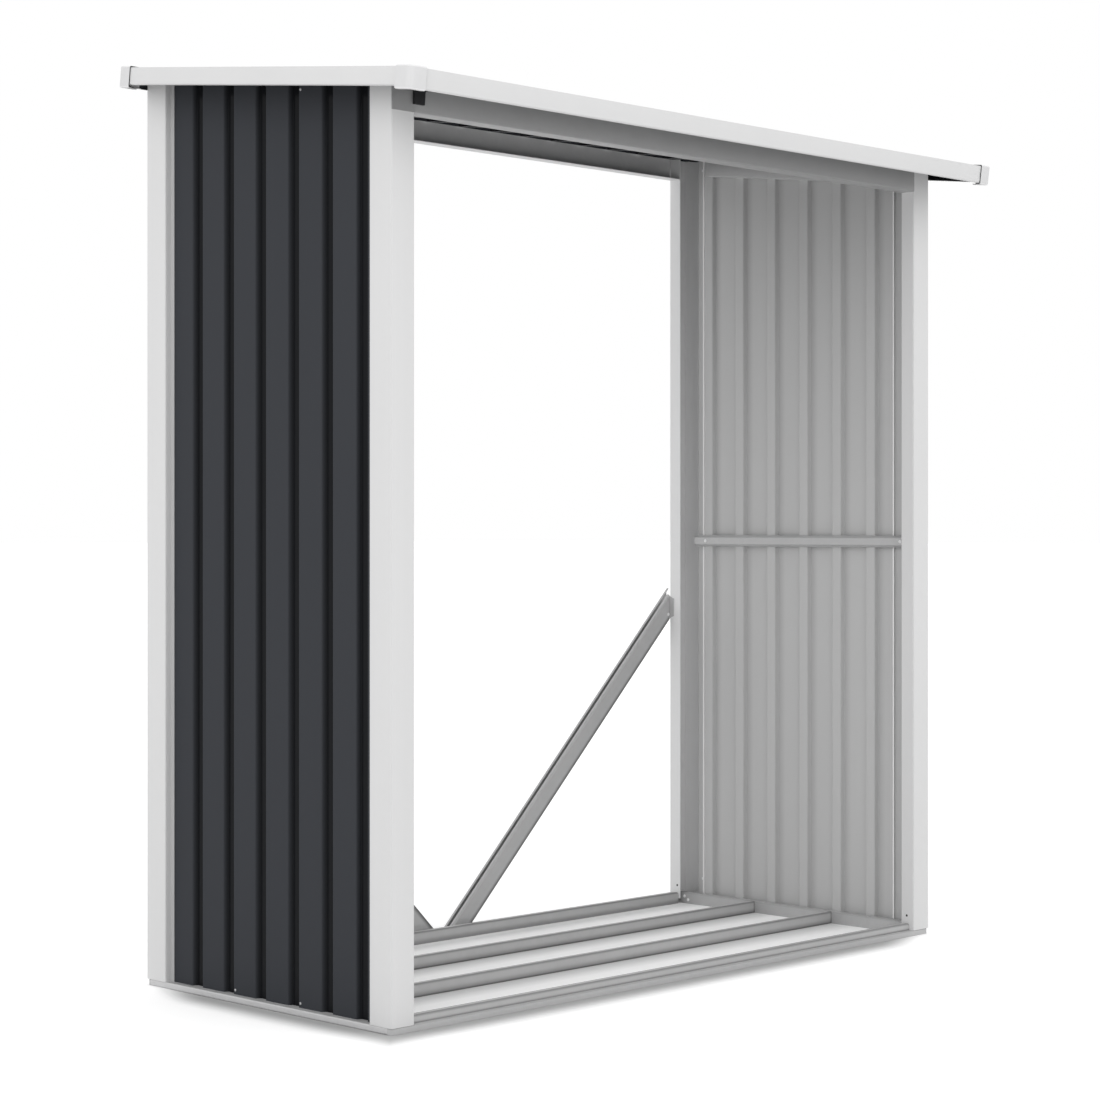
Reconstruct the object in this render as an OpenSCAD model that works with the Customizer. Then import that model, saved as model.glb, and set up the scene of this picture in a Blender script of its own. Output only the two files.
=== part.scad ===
// Open-fronted log store of folded sheet steel: a base frame with floor bars, four channel posts,
// two ribbed end walls, two beams, a braced open back and a single-pitch ribbed roof with trims.
// Millimetres. +Z is up, the open front faces -Y, and the origin is under the middle of the object.

/* [Frame] */
// Length over the posts, along X
frame_l = 1593; // [1300:1:1900]
// Depth over the posts, along Y
frame_w = 719; // [600:1:900]
// Thickness of the folded frame sections
frame_t = 1.5; // [1:0.1:2]

/* [Base] */
// Height of the low outer lip that the posts and walls stand on
lip_h = 12; // [8:0.5:16]
// Depth of the ledge behind the front and back lips, and radius of the base corners
ledge_w = 12; // [9:0.5:16]
// Height of the rails and floor bars
rail_h = 27; // [20:0.5:36]
// Distance from the outer face to the inner face of the front and back rails
rail_in = 28; // [24:0.5:40]
// Radius at the upper end corners of the front and back rails
rail_end_r = 7; // [3:0.5:10]
// Width of the flanges of the floor bars
bar_flange = 12; // [8:0.5:20]

/* [Posts] */
// Width of a post's face on the open front or back
post_face = 55; // [40:0.5:70]
// Depth of the return beside the opening
post_return = 33; // [24:0.5:45]
// Width of a post's face on the end wall
post_side = 60; // [45:0.5:80]
// Depth of the groove between a post's side face and its outer flange
groove = 14; // [9:0.5:18]
// Width of the outer flange that covers the edge of a wall panel
outer_flange = 9; // [6:0.5:14]
// Width of the inner flange behind the edge of a wall panel
inner_flange = 21; // [12:0.5:21]

/* [Ribbed sheets] */
// Thickness of the wall and roof sheets
sheet_t = 1.2; // [0.8:0.1:1.5]
// Distance from one valley to the next on the walls
wall_pitch = 96; // [84:0.5:98]
// Width of a valley at its mouth
valley_mouth = 31; // [26:0.5:40]
// Width of a valley at its floor
valley_floor = 22; // [14:0.5:24]
// Depth of a valley
valley_d = 9; // [6:0.5:10]
// Valleys on a wall panel
wall_valleys = 6; // [4:1:6]
// Distance from a panel's edge to the middle of its first valley, at the front of the left wall
first_valley = 37; // [37:0.5:40]
// Clearance round the edges of a wall panel in its posts
panel_gap = 0.3; // [0.2:0.1:0.5]

/* [Rails and beams] */
// Height of the lower edge of the mid rails
mid_z = 853; // [500:1:1100]
// Height of the mid rails
mid_h = 27; // [20:0.5:40]
// Width of the flat crown of the mid rails
mid_crown = 16; // [10:0.5:19]
// Depth of the mid rails
mid_d = 11; // [8:0.5:15]
// Distance of the mid rails' front ends from the front
mid_front = 44; // [40:0.5:60]
// Distance of the mid rails' back ends from the back
mid_back = 63; // [40:0.5:70]
// Height of the sloping top rails
top_h = 36; // [24:0.5:44]
// Depth of the top rails
top_d = 14; // [8:0.5:15]
// Distance of the top rails' ends from the front and back
top_end = 112; // [38:0.5:140]
// Height of the front beam's web at its outer face, up to the roof sheets
front_beam_h = 54.5; // [44:0.5:120]
// Height of the back beam's web at its outer face, up to the roof sheets
back_beam_h = 51; // [40:0.5:120]
// Width of the clip at the left end of the front beam
clip_w = 26; // [20:0.5:30]
// Distance of the clip from the left end
clip_x = 49; // [40:0.5:60]
// Height of the clip's tongue
clip_h = 26; // [20:0.5:30]
// Height of the clip's lower edge above the underside of the front beam
clip_up = 14; // [8:0.5:16]
// Thickness of the clip
clip_t = 6; // [3:0.5:10]
// Height of the clip's head, and its reach past the tongue
clip_head = 6; // [4:0.5:8]
// Amount by which the clip's tongue narrows to its lower edge
clip_taper = 2; // [0:0.5:4]

/* [Braces] */
// Height of a brace's legs
brace_h = 43.5; // [28:0.5:45]
// Width of a brace, along Y
brace_w = 25; // [12:0.5:30]
// Distance from the middle of the back to where a brace's middle line meets the ground
brace_foot = 34.5; // [34:0.5:80]
// Distance of a brace's upper end from the end wall's outer face
brace_end = 40.5; // [25:0.5:50]
// Width of the lips along the legs of a brace
brace_lip = 8; // [4:0.5:10]
// Width of the tab that folds from a brace onto the post's return
brace_tab = 14; // [8:0.5:25]
// Angle of the braces above the floor
brace_angle = 45; // [40:0.5:50]

/* [Roof] */
// Height of the roof's front edge
roof_front_z = 1689; // [1670:1:1760]
// Slope of the roof, up to the back
roof_slope = 7.1; // [5:0.1:9]
// Overhang at the ends
over_side = 63.5; // [40:0.5:90]
// Overhang at the front
over_front = 120.5; // [80:0.5:160]
// Overhang at the back
over_back = 1; // [0:0.5:8]
// Valleys on each roof sheet
roof_valleys = 6; // [5:1:6]
// Overlap of one roof sheet on the next
roof_lap = 20; // [12:0.5:28]
// Clearance between lapped roof sheets, and between the sheets and the trims
lap_gap = 0.2; // [0.1:0.1:0.4]
// Depth of the turned-down outer edges of the roof
edge_down = 25; // [18:0.5:28]
// Height of the front and back trims
trim_front_h = 37; // [34:0.5:48]
// Height of the side trims
trim_side_h = 33.5; // [30:0.5:44]
// Width of the trims' upper flange
trim_top = 25; // [18:0.5:32]
// Width of the trims' lower flange
trim_low = 10; // [6:0.5:16]
// Length of a corner cap along each trim
cap_l = 36; // [28:0.5:50]
// Wall of a corner cap
cap_t = 2; // [1.5:0.1:3]
// Radius of the caps' outer corner
cap_r = 14; // [8:0.5:18]
// Clearance of the caps round the trims
cap_gap = 0.3; // [0.2:0.1:0.6]

/* [Hidden] */
$fn = 48;

white = "#e0e0e0";
anthracite = "#3f4245";
galvanised = "#adadad";
dark_plastic = "#2b2b2d";

// Floor bars between the front and back rails, and ribbed sheets side by side on the roof
bar_count = 2;
roof_sheets = 3;

// Half of the length, and the places of the front and back faces of the posts
half_l = frame_l / 2;
cap_out = cap_gap + cap_t;
y_min_to_front = over_front + cap_out * (cos(roof_slope) + sin(roof_slope));
y_front = y_min_to_front - (y_min_to_front + frame_w + brace_w) / 2;
y_back = y_front + frame_w;
y_roof = y_front - over_front;

// Stack from the outer face of an end wall inwards: flange, sheet, flange, and the ribs' inner face
panel_x = groove + frame_t + panel_gap;
inner_x = panel_x + sheet_t + panel_gap;
rib_x = panel_x + valley_d + sheet_t;
side_leg_x = rib_x + panel_gap;
bar_x = side_leg_x + rail_in - ledge_w;

// Edges of a wall panel, measured from the front face of the posts
panel_edge = post_side + panel_gap;
panel_w = frame_w - 2 * panel_edge;

// Roof sizes, in the plane of the roof: half width, length down the slope and levels below its top
half_roof = half_l + over_side;
roof_v = (frame_w + over_front + over_back) / cos(roof_slope);
trim_t = frame_t;
lap_rise = sheet_t + lap_gap;
sheet_w = -trim_t - lap_rise - lap_gap;
roof_under = -sheet_w + valley_d + sheet_t;
sheet_edge = half_roof - trim_t - cap_gap;
sheet_pitch = 2 * sheet_edge / (roof_sheets * roof_valleys);
trim_end = cap_r + cap_t;
// Height of the underside of the roof sheets at a distance behind the front face of the posts
function roof_at(y) = roof_front_z + (over_front + y) * tan(roof_slope) - roof_under / cos(roof_slope);
front_beam_z = roof_at(0) - front_beam_h;
back_beam_z = roof_at(frame_w) - back_beam_h;
// Room for the back trim's lower flange between its face and the back of the posts
back_low = (over_back + trim_front_h * sin(roof_slope)) / cos(roof_slope) - cap_gap;

// Sheet folded along a path of points, with its thickness on the left of the path
function unit(v) = v / norm(v);
function left_of(d) = [-d.y, d.x];
function side_of(p, i) = left_of(unit(p[i + 1] - p[i]));
function strip_corner(p, i, t) =
    let (a = side_of(p, max(i - 1, 0)), b = side_of(p, min(i, len(p) - 2)))
    p[i] + t * (a + b) / (1 + a * b);
function strip(p, t) = concat(p, [for (i = [len(p) - 1 : -1 : 0]) strip_corner(p, i, t)]);

// Points across one valley of a ribbed sheet, from its near lip to its far lip
function valley(at, level, far_level) =
    [[at - valley_mouth / 2, level], [at - valley_floor / 2, level - valley_d],
     [at + valley_floor / 2, level - valley_d], [at + valley_mouth / 2, far_level]];

// Extrusions of a section along X, with section (y, z), and along Y, with section (x, z)
module along_x(x0, x1) { translate([x0, 0, 0]) rotate([90, 0, 90]) linear_extrude(x1 - x0) children(); }
module along_y(y0, y1) { translate([0, y1, 0]) rotate([90, 0, 0]) linear_extrude(y1 - y0) children(); }

// The same piece on the right, or at the back
module right_side(on = true) { mirror([on ? 1 : 0, 0, 0]) children(); }
module back_side(on = true) {
    translate([0, on ? y_front + y_back : 0, 0]) mirror([0, on ? 1 : 0, 0]) children();
}

// Frame of the roof: x across, y up the slope from the front edge, z out of the roof's top
module on_roof() { translate([0, y_roof, roof_front_z]) rotate([roof_slope, 0, 0]) children(); }

// Everything under the roof sheets, to cut posts, walls and beams to the slope
module under_roof() {
    on_roof() translate([-half_roof, -roof_front_z, -2 * roof_front_z - roof_under])
        cube([2 * half_roof, roof_v + 2 * roof_front_z, 2 * roof_front_z]);
}
module cut_to_roof() { intersection() { children(); under_roof(); } }

// Front or back base rail: a low lip with round corners, a ledge, and a raised channel between the posts
module long_base_rail() {
    color(galvanised) translate([0, y_front, 0]) {
        difference() {
            linear_extrude(lip_h) rounded_ledge(0);
            translate([0, 0, -frame_t]) linear_extrude(lip_h) rounded_ledge(frame_t);
        }
        intersection() {
            along_x(-half_l, half_l) polygon(strip([[ledge_w - frame_t, lip_h], [ledge_w, lip_h],
                [ledge_w, rail_h], [rail_in, rail_h], [rail_in, 0]], -frame_t));
            rail_ends();
        }
    }
}
module rounded_ledge(inset) {
    r = ledge_w - inset;
    for (s = [-1, 1]) intersection() {
        translate([s * (half_l - ledge_w), ledge_w]) circle(r);
        translate([s * (half_l - ledge_w / 2), ledge_w / 2]) square(ledge_w, center = true);
    }
    translate([-half_l + ledge_w, inset]) square([frame_l - 2 * ledge_w, r]);
}
// Outline of the raised channel seen from the front, with round upper end corners
module rail_ends() {
    reach = half_l - post_face - panel_gap;
    translate([0, rail_in, 0]) rotate([90, 0, 0]) linear_extrude(rail_in) {
        translate([-reach, 0]) square([2 * reach, rail_h - rail_end_r]);
        translate([-reach + rail_end_r, 0]) square([2 * (reach - rail_end_r), rail_h]);
        for (s = [-1, 1]) translate([s * (reach - rail_end_r), rail_h - rail_end_r]) circle(rail_end_r);
    }
}
module front_base_rail() { long_base_rail(); }
module back_base_rail() { back_side() long_base_rail(); }

// Side base rail: foot, lip, ledge under the wall panel and a raised channel behind it
module side_base_rail() {
    color(galvanised) along_y(y_front + ledge_w, y_back - ledge_w) translate([-half_l, 0])
        polygon(strip([[bar_flange, 0], [0, 0], [0, lip_h], [side_leg_x, lip_h], [side_leg_x, rail_h],
            [bar_x, rail_h], [bar_x, 0]], -frame_t));
}
module left_base_rail() { side_base_rail(); }
module right_base_rail() { right_side() side_base_rail(); }

// Floor bar i: a channel across the base, open to the back
module floor_bar(i) {
    step = (frame_w - rail_in - ledge_w) / (bar_count + 1);
    color(galvanised) translate([0, y_front + ledge_w + (i + 1) * step, 0])
        along_x(-half_l + bar_x, half_l - bar_x)
            polygon(strip([[bar_flange, 0], [0, 0], [0, rail_h], [bar_flange, rail_h]], -frame_t));
}
module front_floor_bar() { floor_bar(0); }
module back_floor_bar() { floor_bar(1); }

// Post: a folded channel with a return beside the opening and two flanges that hold the wall panel
module post(right, back) {
    color(white) cut_to_roof() right_side(right) back_side(back)
        translate([-half_l, y_front, lip_h]) linear_extrude(2 * roof_front_z) {
            polygon(strip([[post_face, post_return], [post_face, 0], [0, 0], [0, post_side],
                [groove, post_side], [groove, post_side + outer_flange]], -frame_t));
            polygon(strip([[groove, post_side], [inner_x, post_side],
                [inner_x, post_side + inner_flange]], -frame_t));
        }
}
module front_left_post() { post(false, false); }
module front_right_post() { post(true, false); }
module back_left_post() { post(false, true); }
module back_right_post() { post(true, true); }

// Ribbed wall panel: its valleys start nearer the front on the left wall and nearer the back on the right
module wall_panel(right) {
    last_gap = panel_w - first_valley - (wall_valleys - 1) * wall_pitch;
    start = panel_edge + (right ? last_gap : first_valley);
    across = concat([[panel_edge, 0]],
        [for (k = [0 : wall_valleys - 1]) each valley(start + k * wall_pitch, 0, 0)],
        [[panel_edge + panel_w, 0]]);
    path = [for (p = across) [panel_x - p.y, p.x]];
    color(anthracite) cut_to_roof() right_side(right)
        translate([-half_l, y_front, lip_h]) linear_extrude(2 * roof_front_z) polygon(strip(path, -sheet_t));
}
module left_wall_panel() { wall_panel(false); }
module right_wall_panel() { wall_panel(true); }

// Mid rail: a hat section across the inside of an end wall, against its ribs
module mid_rail() {
    flank = (mid_h - mid_crown) / 2;
    inner_d = mid_d - frame_t;
    color(galvanised) along_y(y_front + mid_front, y_back - mid_back) translate([-half_l + rib_x, mid_z])
        polygon(strip([[0, frame_t], [inner_d, flank], [inner_d, mid_h - flank], [0, mid_h - frame_t]],
            -frame_t));
}
module left_mid_rail() { mid_rail(); }
module right_mid_rail() { right_side() mid_rail(); }

// Top rail: a channel along the top of an end wall, under the slope of the roof
module top_rail() {
    v0 = (over_front + top_end) / cos(roof_slope);
    color(galvanised) on_roof() along_y(v0, v0 + (frame_w - 2 * top_end) / cos(roof_slope))
        translate([-half_l + rib_x, -roof_under])
            polygon(strip([[0, -top_h], [top_d, -top_h], [top_d, 0], [0, 0]], frame_t));
}
module left_top_rail() { top_rail(); }
module right_top_rail() { right_side() top_rail(); }

// Front beam: an angle between the posts, with its web lapped over the face of the left post
module front_beam() {
    color(galvanised) cut_to_roof() translate([0, y_front, 0]) {
        along_x(-half_l + post_face, half_l - post_face) polygon(strip([[post_return, front_beam_z],
            [-frame_t, front_beam_z], [-frame_t, 2 * roof_front_z]], -frame_t));
        translate([-half_l, -frame_t, front_beam_z]) cube([post_face, frame_t, roof_front_z]);
    }
}

// Back beam: an angle between the back posts, open to the inside
module back_beam() {
    color(galvanised) cut_to_roof() translate([0, y_back, 0])
        along_x(-half_l + post_face, half_l - post_face) polygon(strip([[-post_return, back_beam_z],
            [0, back_beam_z], [0, 2 * roof_front_z]], frame_t));
}

// Dark clip on the left end of the front beam: a tapered tongue with a wider head
module beam_clip() {
    color(dark_plastic) translate([-half_l + clip_x, y_front - frame_t, front_beam_z + clip_up])
        rotate([90, 0, 0]) linear_extrude(clip_t) polygon([[0, 0], [clip_w - clip_taper, 0], [clip_w, clip_h],
            [clip_w + clip_head, clip_h], [clip_w + clip_head, clip_h + clip_head],
            [-clip_head / 2, clip_h + clip_head], [-clip_head / 2, clip_h], [0, clip_h]]);
}

// Brace: a channel with lips on the outside of the back, from the ground to a back post, with its web
// below or above. Its near leg stops at the post and folds into a tab on the post's return
module brace(web_above) {
    web = web_above ? brace_h / 2 : -brace_h / 2;
    post_x = half_l - post_face;
    tab_h = brace_h - 4 * frame_t;
    color(galvanised) {
        difference() {
            intersection() {
                up_brace() polygon(strip([[brace_lip, -web], [0, -web], [0, web], [brace_w, web],
                    [brace_w, -web], [brace_w - brace_lip, -web]], web_above ? -frame_t : frame_t));
                translate([0, y_back - brace_w, 0]) cube([half_l - brace_end, 3 * brace_w, roof_front_z]);
            }
            translate([post_x - frame_t / 2, y_back - frame_t, 0])
                cube([post_face, 2 * frame_t + brace_lip, roof_front_z]);
        }
        intersection() {
            up_brace() translate([-brace_tab, -tab_h / 2]) square([brace_tab + frame_t / 2, tab_h]);
            translate([post_x - frame_t, y_back - brace_w, 0]) cube([frame_t, 2 * brace_w, roof_front_z]);
        }
    }
}
// A section carried up a brace's slant, past both of its ends
module up_brace() {
    translate([brace_foot, y_back, 0]) rotate([0, -brace_angle, 0])
        along_x(-brace_h, half_l / cos(brace_angle)) children();
}
module left_brace() { right_side() brace(true); }
module right_brace() { brace(false); }

// Ribbed roof sheet i, lapped over the next one, with the roof's outer edges turned down
module roof_sheet(i) {
    x0 = -sheet_edge + i * roof_valleys * sheet_pitch;
    x1 = x0 + roof_valleys * sheet_pitch;
    first = i == 0;
    last = i == roof_sheets - 1;
    near = first ? [[x0, sheet_w - edge_down], [x0, sheet_w]] : [[x0, sheet_w]];
    far = last ? [[x1, sheet_w], [x1, sheet_w - edge_down]] : [[x1 + roof_lap, sheet_w + lap_rise]];
    path = concat(near,
        [for (k = [0 : roof_valleys - 1]) each valley(x0 + (k + 0.5) * sheet_pitch, sheet_w,
            !last && k == roof_valleys - 1 ? sheet_w + lap_rise : sheet_w)],
        far);
    edge = cap_r + cap_gap;
    color(anthracite) on_roof() along_y(edge, roof_v - edge) polygon(strip(path, -sheet_t));
}
module left_roof_sheet() { roof_sheet(0); }
module middle_roof_sheet() { roof_sheet(1); }
module right_roof_sheet() { roof_sheet(2); }

// Section of a roof trim: upper flange, face and lower flange, with its face at 0
module trim_section(h, low = trim_low) {
    polygon(strip([[trim_top, 0], [0, 0], [0, -h], [low, -h]], trim_t));
}
module front_roof_trim() {
    color(white) on_roof() along_x(-half_roof + trim_end, half_roof - trim_end) trim_section(trim_front_h);
}
module back_roof_trim() {
    color(white) on_roof() translate([0, roof_v, 0]) mirror([0, 1, 0])
        along_x(-half_roof + trim_end, half_roof - trim_end) trim_section(trim_front_h, back_low);
}
module side_roof_trim() {
    color(white) on_roof() along_y(trim_top + cap_gap, roof_v - trim_top - cap_gap)
        translate([-half_roof, 0]) trim_section(trim_side_h);
}
module left_roof_trim() { side_roof_trim(); }
module right_roof_trim() { right_side() side_roof_trim(); }

// Corner cap: a hood with a round outer corner over the ends of two trims
module corner_cap(right, back) {
    color(white) right_side(right) on_roof() translate([0, back ? roof_v : 0, 0]) mirror([0, back ? 1 : 0, 0])
        translate([-half_roof, 0, 0]) difference() {
            translate([0, 0, -trim_front_h - cap_out]) linear_extrude(trim_front_h + 2 * cap_out)
                cap_outline(cap_out, cap_r);
            translate([0, 0, -trim_front_h - cap_gap]) linear_extrude(trim_front_h + 2 * cap_gap)
                cap_outline(cap_gap, cap_r - cap_t);
            translate([trim_low, trim_low, -2 * trim_front_h]) cube([cap_l, cap_l, 2 * trim_front_h]);
        }
}
// Square of the cap's reach with its outer corner rounded, grown outwards by a margin
module cap_outline(margin, r) {
    reach = cap_l + margin;
    translate([-margin + r, -margin + r]) circle(r);
    translate([-margin + r, -margin]) square([reach - r, reach]);
    translate([-margin, -margin + r]) square([reach, reach - r]);
}
module front_left_corner_cap() { corner_cap(false, false); }
module front_right_corner_cap() { corner_cap(true, false); }
module back_left_corner_cap() { corner_cap(false, true); }
module back_right_corner_cap() { corner_cap(true, true); }

front_base_rail();
back_base_rail();
left_base_rail();
right_base_rail();
front_floor_bar();
back_floor_bar();
front_left_post();
front_right_post();
back_left_post();
back_right_post();
left_wall_panel();
right_wall_panel();
left_mid_rail();
right_mid_rail();
left_top_rail();
right_top_rail();
front_beam();
back_beam();
beam_clip();
left_brace();
right_brace();
left_roof_sheet();
middle_roof_sheet();
right_roof_sheet();
front_roof_trim();
back_roof_trim();
left_roof_trim();
right_roof_trim();
front_left_corner_cap();
front_right_corner_cap();
back_left_corner_cap();
back_right_corner_cap();
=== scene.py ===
# %% [markdown]
# # A log store of folded sheet steel
# The store is made of thin steel sheet: every post, rail, trim and ribbed wall starts flat and is bent
# along straight lines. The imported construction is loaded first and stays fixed. Each piece of the looks
# is then worked out around it, in metres and in the same frame: +Z up, open front to -Y.

import math

import bpy
import numpy as np
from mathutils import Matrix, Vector


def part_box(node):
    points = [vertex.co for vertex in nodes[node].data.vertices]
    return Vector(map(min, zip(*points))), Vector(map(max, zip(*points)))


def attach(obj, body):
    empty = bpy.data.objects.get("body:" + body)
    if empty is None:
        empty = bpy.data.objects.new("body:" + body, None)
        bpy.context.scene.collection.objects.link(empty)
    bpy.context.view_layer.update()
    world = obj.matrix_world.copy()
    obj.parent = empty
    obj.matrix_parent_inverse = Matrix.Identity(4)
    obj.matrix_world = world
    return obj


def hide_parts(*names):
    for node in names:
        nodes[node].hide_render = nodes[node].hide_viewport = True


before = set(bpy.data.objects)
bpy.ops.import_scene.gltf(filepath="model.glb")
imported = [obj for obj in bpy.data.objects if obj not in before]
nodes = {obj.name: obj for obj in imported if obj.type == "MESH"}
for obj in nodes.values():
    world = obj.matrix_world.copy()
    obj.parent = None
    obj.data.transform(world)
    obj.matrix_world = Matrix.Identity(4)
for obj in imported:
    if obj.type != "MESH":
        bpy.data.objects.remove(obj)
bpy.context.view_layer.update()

# %% [markdown]
# ## Sizes
# What can be measured is read from the construction: the posts give the outer faces, and the trims and
# rails give the rest. Only what a box can't tell, such as a fold's depth or the slope, is written here.

# %% Measure the frame
MM = 0.001
near_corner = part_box("front_left_post")[0]
rail_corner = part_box("front_base_rail")[1]
half_l = -near_corner.x
y_front = near_corner.y
y_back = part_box("back_right_post")[1].y
lip_h = near_corner.z
rail_h = rail_corner.z
rail_in = rail_corner.y - y_front
frame_t = 1.5 * MM
sheet_t = 1.2 * MM
slope = math.radians(7.1)
over_front = 120.5 * MM
over_side = 63.5 * MM
y_roof = y_front - over_front
roof_front_z = 1689 * MM
half_roof = half_l + over_side
over_back = 1 * MM
roof_len = (y_back + over_back - y_roof) / math.cos(slope)
valley_depth = 9 * MM
thin_gap = 0.2 * MM
lap_rise = sheet_t + thin_gap
sheet_top = -frame_t - lap_rise - thin_gap
sheet_low = sheet_top - valley_depth - sheet_t
print(f"posts {2 * half_l:.3f} x {y_back - y_front:.3f} m, roof {2 * half_roof:.3f} x {roof_len:.3f} m")

# %% [markdown]
# ## A folded sheet as a surface
# A sheet's section is a line with bends. A bend is never sharp: the inside has a small radius and the
# outside has that radius plus the sheet. The corners could be beveled with a modifier, but working the
# arcs out gives exact bends and keeps both faces of the sheet parallel. The line and its normals are
# arrays, and the second face is the line moved along its normals by the thickness.

# %% Bend a section
def directions(points):
    """Unit vectors along the runs of a line, and their left normals."""
    run = np.diff(points, axis=-2)
    run = run / np.linalg.norm(run, axis=-1, keepdims=True)
    return run, np.stack([-run[..., 1], run[..., 0]], -1)


def rounded(points, bend, steps=4, thickness=0.0):
    """Line with an arc at each inner corner, and its left normals.

    An arc starts its radius times tan(turn / 2) before its corner. Its points are the centre minus the
    normal times the radius, while the normal swings through the turn. The radius is the inside bend,
    plus the thickness where the line lies on the outside of the bend.
    """
    p = np.asarray(points, float)
    run, left = directions(p)
    before, after = run[..., :-1, :], run[..., 1:, :]
    cross = before[..., 0] * after[..., 1] - before[..., 1] * after[..., 0]
    turn = np.arctan2(cross, (before * after).sum(-1))
    side = np.sign(turn)
    radius = bend + np.maximum(side * thickness, 0)
    start = p[..., 1:-1, :] - before * (radius * np.tan(np.abs(turn) / 2))[..., None]
    centre = start + left[..., :-1, :] * (side * radius)[..., None]
    swing = turn[..., None] * np.linspace(0, 1, steps + 1)
    cos, sin = np.cos(swing), np.sin(swing)
    x, y = left[..., :-1, None, 0], left[..., :-1, None, 1]
    normal = np.stack([x * cos - y * sin, x * sin + y * cos], -1)
    arc = centre[..., None, :] - normal * (side * radius)[..., None, None]
    flat = arc.shape[:-3] + (-1, 2)
    line = np.concatenate([p[..., :1, :], arc.reshape(flat), p[..., -1:, :]], -2)
    normals = np.concatenate([left[..., :1, :], normal.reshape(flat), left[..., -1:, :]], -2)
    return line, normals


def folded(points, thickness, bend=1.0 * MM, steps=4, hollow=None):
    """Closed section of a folded sheet: its line, then the same line moved by the thickness, backwards.

    Two more columns hold marks for the finishes. The fold mark is a half sine over each arc, so it is
    1 in the middle of a bend and 0 on the flats. The hollow mark is the share of a valley's depth.
    """
    line, normals = rounded(points, bend, steps, thickness)
    over_arc = np.sin(np.pi * np.linspace(0, 1, steps + 1))
    fold = np.concatenate([[0.0], np.tile(over_arc, len(points) - 2), [0.0]])
    depth = hollow(line) if hollow else 0 * fold
    section = np.column_stack([line, fold, depth])
    other = np.column_stack([line + thickness * normals, fold, depth])
    return np.concatenate([section, other[::-1]])


print("a sheet with one fold:", len(folded([(0, 0), (1, 0), (1, 1)], frame_t)), "points round its section")

# %% [markdown]
# A section becomes a piece when it is carried along: straight for posts, rails and roof sheets, and round
# corners for the lips of the base and the caps of the roof. A curve with a bevel profile would carry it too,
# but all of its ends are square. Here each point of the section has its own start and end, so that a post
# can be cut to the slope of the roof.

# %% Carry a section
def with_marks(points, section):
    """Grid points with the section's two marks beside them, row by row."""
    marks = np.broadcast_to(section[:, 2:4], points.shape[:2] + (2,))
    return np.concatenate([points, marks], -1)


def straight(section, start, end, place, shares=(0, 1)):
    """Grid of a section carried straight from start to end, which may differ from point to point.

    A row of the grid stands at each share of the way.
    """
    share = np.array(shares, float)[:, None]
    run = start + (end - start) * share + np.zeros(len(section))
    return with_marks(place(section[None, :, 0] + 0 * run, section[None, :, 1] + 0 * run, run), section)


def round_route(section, route, radius, place, steps):
    """Grid of a section carried round a route with round corners.

    A section point lies its first coordinate inside the route and its second coordinate up, so it
    follows the route moved inwards by a mitre, on corners whose radius shrinks by the same distance.
    """
    p = np.asarray(route, float)
    left = directions(p)[1]
    inner = (left[:-1] + left[1:]) / (1 + (left[:-1] * left[1:]).sum(1, keepdims=True))
    mitre = np.concatenate([left[:1], inner, left[-1:]])
    inset = section[:, 0]
    lines = p + inset[:, None, None] * mitre
    least = 0.2 * MM
    line, _ = rounded(lines, np.maximum(radius - inset, least)[:, None], steps)
    line = line.transpose(1, 0, 2)
    points = place(line[..., 0], line[..., 1], section[None, :, 1] + 0 * line[..., 0])
    return with_marks(points, section)


print("rows of a route with one corner:", len(rounded([(0, 0), (1, 0), (1, 1)], 0.1, steps=6)[0]))

# %% [markdown]
# ## Marks beside the folds
# A dark line of painted shade runs along a fold and is a little wider than the bend itself. It could be
# painted as an image, but a mark on the mesh needs none: the section gets more points, and each point's mark
# tells how near it lies to a bend. The finishes read the mark.

# %% Denser sections
def way_along(line):
    """Length of a line from its start to each of its points."""
    return np.concatenate([[0], np.cumsum(np.linalg.norm(np.diff(line[:, :2], axis=0), axis=1))])


def with_points(section, step):
    """The same section with more points on its long runs, so that a cut end can curve across them."""
    half = len(section) // 2
    line = section[:half]
    along = way_along(line)
    knots = np.union1d(along, np.arange(0, along[-1], step))
    sides = (line, section[half:][::-1])
    denser = [np.stack([np.interp(knots, along, s[:, n]) for n in range(4)], 1) for s in sides]
    return np.concatenate([denser[0], denser[1][::-1]])


def with_edges(section, width, step=1 * MM, in_bend=0.7):
    """Denser section whose fold mark fades from 1 at a bend to 0 within a width on the flats beside it."""
    dense = with_points(section, step)
    line = dense[:len(dense) // 2]
    along = way_along(line)
    away = np.abs(along[:, None] - along[line[:, 2] > in_bend]).min(1)
    mark = np.clip(1 - away / width, 0, 1)
    dense[:, 2] = np.concatenate([mark, mark[::-1]])
    return dense


print("points on a denser fold:", len(with_points(folded([(0, 0), (0.1, 0), (0.1, 0.1)], frame_t), 1 * MM)))

# %% [markdown]
# ## Places
# A section is drawn flat and then stood where the real piece is. Each place below takes the section's
# two coordinates and the run, as arrays, and gives points in the frame. Right and back pieces repeat the
# left and front ones by mirroring, and the mesh builder turns their faces outwards again.

# %% Name the places
def along_x(a, b, run):
    """Section across Y and Z, carried along X."""
    return np.stack([run, a, b], -1)


def along_y(a, b, run):
    """Section across X and Z, carried along Y."""
    return np.stack([a, run, b], -1)


def upright(a, b, run):
    """Section across X and Y, carried along Z."""
    return np.stack([a, b, run], -1)


def on_roof(x, up, out):
    """Point of the roof: across, up the slope from the front edge, and out of the roof's top."""
    y = y_roof + up * math.cos(slope) - out * math.sin(slope)
    z = roof_front_z + up * math.sin(slope) + out * math.cos(slope)
    return np.stack([x, y, z], -1)


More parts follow.
